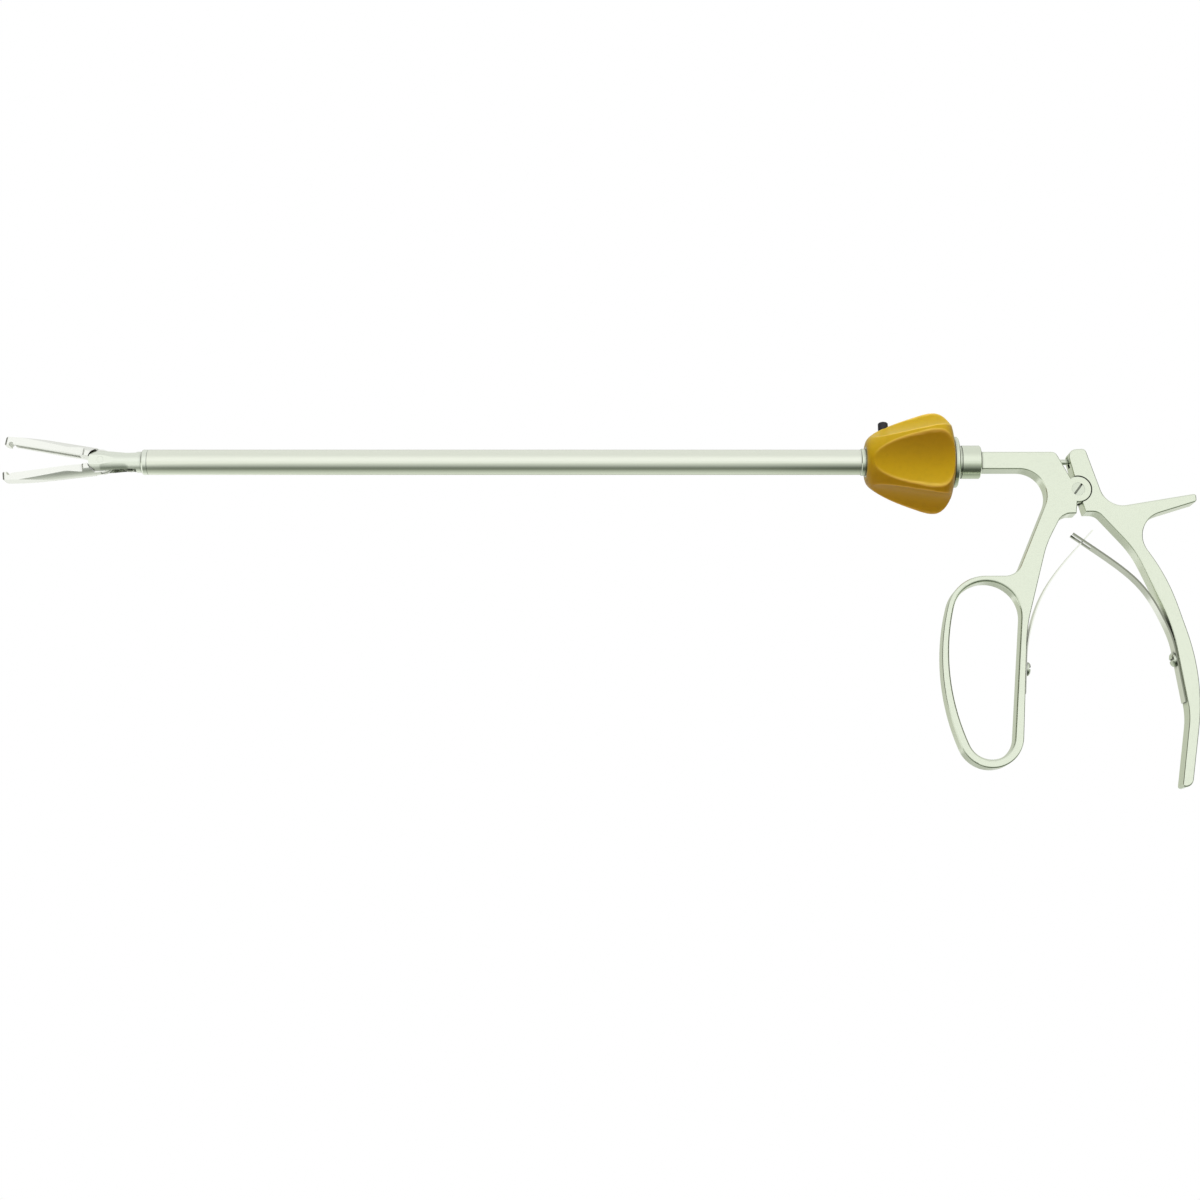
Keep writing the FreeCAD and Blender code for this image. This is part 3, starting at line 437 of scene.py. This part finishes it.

# Leaf springs: two strips of polished spring steel that push the handles apart. The narrow tip of
# the front one passes through the fork of the rear one. Each is held by a screw at its foot.
SPRING_STEEL = (0.88, 0.91, 0.82)
# Painted shade: the rear strip's cut edges that face across the tool are painted dark.
CUT_EDGE_SHADE = (0.26, 0.28, 0.22)
CUT_EDGE_START = 0.5
CUT_EDGE_FULL = 0.9
SPRING_GRAIN = (1.0, 0.3, 1.0)
DOUBLES_WITHIN = 1e-6
SPRING_EDGE_ANGLE = math.radians(30.0)
CROSSING = Vector((0.0859, 0.0, -0.0329))
FRONT_BEND = Vector((0.0625, 0.0, -0.0680))
REAR_BEND = Vector((0.1188, 0.0, -0.0665))


def strip_steel(name):
    """Polished spring steel, its faint grain drawn out across the strip."""
    return finished(
        name,
        SPRING_STEEL,
        roughness=0.14,
        stretch=SPRING_GRAIN,
        grain=1600.0,
        relief=3e-7,
        darker=0.98,
    )


def merged_copy(node, name):
    """Plain mesh object with a CAD node's shape, its doubles merged and its sharp edges marked."""
    mesh = nodes[node].data.copy()
    mesh.name = name
    work = bmesh.new()
    work.from_mesh(mesh)
    bmesh.ops.remove_doubles(work, verts=work.verts, dist=DOUBLES_WITHIN)
    work.to_mesh(mesh)
    work.free()
    mesh.shade_smooth()
    mesh.set_sharp_from_angle(angle=SPRING_EDGE_ANGLE)
    piece = bpy.data.objects.new(name, mesh)
    scene.collection.objects.link(piece)
    return piece


def paint_shade_on_cut_edges(material):
    """Paints shade on the cut edges of the strip, which face across the tool, so they are darker than
    its broad faces.
    """
    tree = material.node_tree
    shader = tree.nodes["Principled BSDF"]
    broad = shader.inputs["Base Color"].links[0].from_socket
    facing = tree.nodes.new("ShaderNodeTexCoord")
    split = tree.nodes.new("ShaderNodeSeparateXYZ")
    across = tree.nodes.new("ShaderNodeMath")
    across.operation = "ABSOLUTE"
    edge = map_range(tree, CUT_EDGE_START, CUT_EDGE_FULL)
    edge_shade = color_mix(tree, second=CUT_EDGE_SHADE)
    tree.links.new(facing.outputs["Normal"], split.inputs["Vector"])
    tree.links.new(split.outputs["Y"], across.inputs[0])
    tree.links.new(across.outputs["Value"], edge.inputs["Value"])
    tree.links.new(edge.outputs["Result"], edge_shade.inputs["Factor"])
    tree.links.new(broad, edge_shade.inputs["A"])
    tree.links.new(edge_shade.outputs["Result"], shader.inputs["Base Color"])


polished_steel = strip_steel("polished_spring_steel")
# The rear strip's steel carries painted shade on its cut edges; the front strip's does not.
edge_shaded_steel = strip_steel("edge_shaded_spring_steel")
paint_shade_on_cut_edges(edge_shaded_steel)
for node, steel, start, end in (
    ("front_leaf_spring", polished_steel, FRONT_BEND, CROSSING * 2 - FRONT_BEND),
    ("rear_leaf_spring", edge_shaded_steel, CROSSING * 2 - REAR_BEND, REAR_BEND),
):
    spring = merged_copy(node, node + "_strip")
    spring.data.materials.clear()
    spring.data.materials.append(steel)
    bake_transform(spring)
    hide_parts(node)

# Coupling sleeve: a turned sleeve on the end of the bar, in which the barrel turns. An open spring
# ring inside it holds the barrel's journal.
ROUND_SHAFT = (6.0, 1.0, 1.0)
TURNED_PER_METRE = 500.0
TURNED_RELIEF = 5e-7
SLEEVE_ROUGHNESS = 0.13
turned_sleeve_steel = finished(
    "turned_sleeve_steel",
    HANDLE_STEEL,
    SLEEVE_ROUGHNESS,
    ROUND_SHAFT,
    TURNED_PER_METRE,
    TURNED_RELIEF,
)
wear_finish("coupling_sleeve", turned_sleeve_steel)
wear_finish("retaining_ring", polished_steel)

# Rear flange and spindle: the turned core of the barrel. The flange closes the back of the knob,
# and the spindle carries the shaft, the knob and the seals of the rod.
BARREL_ROUGHNESS = 0.14
turned_barrel_steel = finished(
    "turned_barrel_steel",
    HANDLE_STEEL,
    BARREL_ROUGHNESS,
    ROUND_SHAFT,
    TURNED_PER_METRE,
    TURNED_RELIEF,
)
for node in ("rear_flange", "barrel_spindle", "gland_nut"):
    wear_finish(node, turned_barrel_steel)

# Rotation knob: moulded in yellow plastic, a dome with five scooped flutes for the finger. The
# edges of the flutes are soft, with a paler painted highlight along them. A round pocket in one ridge
# takes the port's cap.
KNOB_YELLOW = (0.56, 0.39, 0.010)
# Painted highlight: the flute edges are painted a paler yellow, where a rounded edge would mirror the
# light.
KNOB_EDGE_HIGHLIGHT = (0.80, 0.60, 0.10)
KINK_MIN = 0.12
KINK_MAX = 0.34
FLUTES = 5
FLUTE_STEP = math.tau / FLUTES
PORT_RIDGE = math.radians(98.6)
KNOB_ROWS = 110
KNOB_COLUMNS = 72
EDGE_PASSES = 1
HIGHLIGHT_PASSES = 6
SHELL_INSET = 0.00004
RAY_START = 0.03
SEAMS_WITHIN = 2e-6
BORE_PLAY = 0.00003
POCKET_RADIUS = 0.0024
POCKET_FLOOR = 0.0113
POCKET_X = 0.0096
POCKET_LENGTH = 0.02
POCKET_SIDES = 64
KNOB_EDGE_ANGLE = math.radians(50.0)
PLASTIC_IOR = 1.48
PLASTIC_SPECULAR = 0.20
GLOW_WEIGHT = 0.12
GLOW_RADIUS = (1.0, 0.5, 0.1)
GLOW_DEPTH = 0.002


def knob_radii():
    """Places along the shaft, and at each the knob's radii across one flute, from ridge to ridge."""
    shell = nodes["rotation_knob"].data
    tree = BVHTree.FromPolygons([v.co for v in shell.vertices], [p.vertices for p in shell.polygons])
    low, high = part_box("rotation_knob")
    middle = PORT_RIDGE + 1.5 * FLUTE_STEP
    places = []
    radii = []
    for i in range(KNOB_ROWS + 1):
        share = (1.0 - math.cos(math.pi * i / KNOB_ROWS)) / 2.0
        x = low.x + SHELL_INSET + (high.x - low.x - 2 * SHELL_INSET) * share
        row = []
        for j in range(KNOB_COLUMNS + 1):
            angle = middle + FLUTE_STEP * (j / KNOB_COLUMNS - 0.5)
            outward = Vector((0.0, -math.cos(angle), math.sin(angle)))
            start = Vector((x, 0.0, 0.0)) + outward * RAY_START
            _, _, _, distance = tree.ray_cast(start, -outward)
            row.append(RAY_START - distance)
        places.append(x)
        radii.append(row)
    return places, radii


def softened(rows, passes):
    """Blurs values along each row. The rows mirror at their ends, where two ridges meet."""
    for _ in range(passes):
        blurred = []
        for row in rows:
            before = [row[1]] + row[:-1]
            after = row[1:] + [row[-2]]
            blurred.append([(a + 2 * b + c) / 4 for a, b, c in zip(before, row, after)])
        rows = blurred
    return rows


def painted_edge_highlight(radii):
    """Mask of the painted highlight: one along the edges of the flutes, where the slope jumps, and
    zero elsewhere.
    """
    column_angle = FLUTE_STEP / KNOB_COLUMNS
    highlight_mask = []
    for row in radii:
        before = [row[2], row[1]] + row[:-2]
        after = row[2:] + [row[-2], row[-3]]
        highlit = []
        for a, b, c in zip(before, row, after):
            kink = (2 * b - a - c) / (2 * column_angle * b)
            highlit.append(min(max((kink - KINK_MIN) / (KINK_MAX - KINK_MIN), 0.0), 1.0))
        highlight_mask.append(highlit)
    columns = softened([list(column) for column in zip(*highlight_mask)], HIGHLIGHT_PASSES)
    return [list(row) for row in zip(*columns)]


def knob_sector():
    """Mesh of one flute between two ridge middles: outer skin, both end faces and bore."""
    width = KNOB_COLUMNS + 1
    places, radii = knob_radii()
    highlit = [0.0] * width
    for row in painted_edge_highlight(radii):
        highlit += row
    highlit += [0.0] * width
    radii = softened(radii, EDGE_PASSES)
    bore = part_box("barrel_spindle")[1].y + BORE_PLAY
    rows = [(places[0], [bore] * width)]
    rows += list(zip(places, radii))
    rows.append((places[-1], [bore] * width))
    points = []
    for x, row in rows:
        for j, radius in enumerate(row):
            angle = FLUTE_STEP * (j / KNOB_COLUMNS - 0.5)
            points.append((x, -radius * math.cos(angle), radius * math.sin(angle)))
    faces = []
    for i in range(len(rows)):
        here = i * width
        after = (i + 1) % len(rows) * width
        for j in range(KNOB_COLUMNS):
            faces.append((here + j, here + j + 1, after + j + 1, after + j))
    mesh = bpy.data.meshes.new("knob_sector")
    mesh.from_pydata(points, [], faces)
    mesh.attributes.new("painted_edge_highlight", "FLOAT", "POINT").data.foreach_set("value", highlit)
    return mesh


def repeat_round_shaft(material):
    """Geometry Nodes tree: turned copies of a sector round the shaft, joined to one skin."""
    tree = bpy.data.node_groups.new("repeat_round_shaft", "GeometryNodeTree")
    tree.interface.new_socket("Sector", in_out="INPUT", socket_type="NodeSocketGeometry")
    tree.interface.new_socket("Copies", in_out="INPUT", socket_type="NodeSocketInt")
    tree.interface.new_socket("First Angle", in_out="INPUT", socket_type="NodeSocketFloat")
    tree.interface.new_socket("Geometry", in_out="OUTPUT", socket_type="NodeSocketGeometry")
    given = tree.nodes.new("NodeGroupInput")
    result = tree.nodes.new("NodeGroupOutput")
    seats = tree.nodes.new("GeometryNodeMeshLine")
    seats.inputs["Offset"].default_value = (0.0, 0.0, 0.0)
    number = tree.nodes.new("GeometryNodeInputIndex")
    share = tree.nodes.new("ShaderNodeMath")
    share.operation = "DIVIDE"
    turn = tree.nodes.new("ShaderNodeMath")
    turn.operation = "MULTIPLY_ADD"
    turn.inputs[1].default_value = -math.tau
    about_shaft = tree.nodes.new("ShaderNodeCombineXYZ")
    copies = tree.nodes.new("GeometryNodeInstanceOnPoints")
    real = tree.nodes.new("GeometryNodeRealizeInstances")
    joined = tree.nodes.new("GeometryNodeMergeByDistance")
    joined.inputs["Distance"].default_value = SEAMS_WITHIN
    painted = tree.nodes.new("GeometryNodeSetMaterial")
    painted.inputs["Material"].default_value = material
    tree.links.new(given.outputs["Copies"], seats.inputs["Count"])
    tree.links.new(number.outputs["Index"], share.inputs[0])
    tree.links.new(given.outputs["Copies"], share.inputs[1])
    tree.links.new(share.outputs["Value"], turn.inputs[0])
    tree.links.new(given.outputs["First Angle"], turn.inputs[2])
    tree.links.new(turn.outputs["Value"], about_shaft.inputs["X"])
    tree.links.new(seats.outputs["Mesh"], copies.inputs["Points"])
    tree.links.new(given.outputs["Sector"], copies.inputs["Instance"])
    tree.links.new(about_shaft.outputs["Vector"], copies.inputs["Rotation"])
    tree.links.new(copies.outputs["Instances"], real.inputs["Geometry"])
    tree.links.new(real.outputs["Geometry"], joined.inputs["Geometry"])
    tree.links.new(joined.outputs["Geometry"], painted.inputs["Geometry"])
    tree.links.new(painted.outputs["Geometry"], result.inputs["Geometry"])
    return tree


def set_input(modifier, label, value):
    """Sets a named input of a Geometry Nodes modifier by its identifier."""
    for item in modifier.node_group.interface.items_tree:
        if item.in_out == "INPUT" and item.name == label:
            modifier[item.identifier] = value


def knob_plastic():
    """Yellow plastic with a fine moulded skin, and a paler painted highlight along the edges of the
    flutes.
    """
    material = finished(
        "moulded_yellow",
        KNOB_YELLOW,
        roughness=0.32,
        stretch=EVERY_WAY,
        grain=500.0,
        relief=2e-6,
        metallic=0.0,
        darker=0.95,
        painted_shade=0.4,
    )
    tree = material.node_tree
    shader = tree.nodes["Principled BSDF"]
    # Painted highlight: the flute edges are painted paler yellow by this mask.
    highlight_mask = tree.nodes.new("ShaderNodeAttribute")
    highlight_mask.attribute_name = "painted_edge_highlight"
    paler = color_mix(tree, second=KNOB_EDGE_HIGHLIGHT)
    body = shader.inputs["Base Color"].links[0].from_socket
    tree.links.new(highlight_mask.outputs["Fac"], paler.inputs["Factor"])
    tree.links.new(body, paler.inputs["A"])
    tree.links.new(paler.outputs["Result"], shader.inputs["Base Color"])
    shader.inputs["Subsurface Weight"].default_value = GLOW_WEIGHT
    shader.inputs["Subsurface Radius"].default_value = GLOW_RADIUS
    shader.inputs["Subsurface Scale"].default_value = GLOW_DEPTH
    shader.inputs["IOR"].default_value = PLASTIC_IOR
    shader.inputs["Specular IOR Level"].default_value = PLASTIC_SPECULAR
    return material


knob_paint = knob_plastic()
knob = bpy.data.objects.new("fluted_knob", knob_sector())
scene.collection.objects.link(knob)
repeat = knob.modifiers.new("repeat", "NODES")
repeat.node_group = repeat_round_shaft(knob_paint)
set_input(repeat, "Copies", FLUTES)
set_input(repeat, "First Angle", -(PORT_RIDGE + math.pi / FLUTES))
cutter_mesh = bpy.data.meshes.new("pocket_cutter")
work = bmesh.new()
bmesh.ops.create_cone(
    work,
    cap_ends=True,
    segments=POCKET_SIDES,
    radius1=POCKET_RADIUS,
    radius2=POCKET_RADIUS,
    depth=POCKET_LENGTH,
)
pocket_middle = (POCKET_X, 0.0, POCKET_FLOOR + POCKET_LENGTH / 2)
bmesh.ops.translate(work, verts=work.verts, vec=pocket_middle)
work.to_mesh(cutter_mesh)
work.free()
cutter = bpy.data.objects.new("pocket_cutter", cutter_mesh)
cutter.rotation_euler = (math.pi / 2 - PORT_RIDGE, 0.0, 0.0)
scene.collection.objects.link(cutter)
pocket = knob.modifiers.new("pocket", "BOOLEAN")
pocket.operation = "DIFFERENCE"
pocket.solver = "EXACT"
pocket.object = cutter
bpy.context.view_layer.update()
knob_mesh = bpy.data.meshes.new_from_object(knob.evaluated_get(bpy.context.evaluated_depsgraph_get()))
knob.modifiers.clear()
knob.data = knob_mesh
bpy.data.objects.remove(cutter)
work = bmesh.new()
work.from_mesh(knob_mesh)
bmesh.ops.recalc_face_normals(work, faces=work.faces)
work.to_mesh(knob_mesh)
work.free()
knob_mesh.shade_smooth()
knob_mesh.set_sharp_from_angle(angle=KNOB_EDGE_ANGLE)
knob_mesh.materials.clear()
knob_mesh.materials.append(knob_paint)
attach(knob, "barrel")
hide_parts("rotation_knob")

# Flush port and cap: a short steel stub that leads into the shaft, closed by a black rubber cap
# pushed over it. The seals round the rod are of the same rubber.
CAP_BLACK = (0.018, 0.019, 0.026)
TUBE_STEEL = (0.88, 0.92, 0.80)
GROUND_ALONG = (0.1, 1.0, 1.0)
bright_tube_steel = finished(
    "bright_tube_steel",
    TUBE_STEEL,
    roughness=0.16,
    stretch=GROUND_ALONG,
    grain=1400.0,
    relief=2e-7,
    darker=0.985,
)
cap_rubber = finished(
    "black_cap_rubber",
    CAP_BLACK,
    roughness=0.42,
    stretch=EVERY_WAY,
    grain=1500.0,
    relief=4e-6,
    metallic=0.0,
    darker=0.7,
    spread=0.12,
)
wear_finish("flush_port", bright_tube_steel)
wear_finish("port_cap", cap_rubber)
wear_finish("rod_seals", cap_rubber)

# Shaft: a 10 mm stainless tube, ground along its length and polished, with a turned collar where
# it enters the knob.
wear_finish("outer_tube", bright_tube_steel)
wear_finish("front_collar", turned_barrel_steel)

# Jaws: the fork in the end of the shaft, the two jaws on their pin, and the pin itself. The jaws
# are milled and blasted, and their steel is painted near white as painted light for the strong light
# on them. The fork and pin are smoother and greyer.
# Painted light: the jaw steel is painted near white for the strong light that falls on the jaws.
JAW_STEEL_PAINTED_BRIGHT = (0.955, 0.975, 0.915)
FORK_STEEL = (0.86, 0.91, 0.80)
painted_bright_jaws = finished(
    "painted_bright_jaw_steel",
    JAW_STEEL_PAINTED_BRIGHT,
    roughness=0.26,
    stretch=EVERY_WAY,
    grain=1500.0,
    relief=6e-7,
    darker=0.985,
    painted_shade=0.5,
)
fork_steel = finished(
    "blasted_fork_steel",
    FORK_STEEL,
    roughness=0.15,
    stretch=EVERY_WAY,
    grain=1500.0,
    relief=4e-7,
    darker=0.985,
)
wear_finish("jaw_yoke", fork_steel)
for node in ("upper_jaw", "lower_jaw"):
    wear_finish(node, painted_bright_jaws)
wear_finish("jaw_pin", fork_steel)

# Drive rod: a ground 4 mm rod through the shaft, with the cam pin of the jaws in front and a ball
# stud with its lock nut behind, held in the tab of the lever.
wear_finish("drive_rod", bright_tube_steel)
for node in ("cam_pin", "ball_stud", "lock_nut"):
    wear_finish(node, turned_steel)
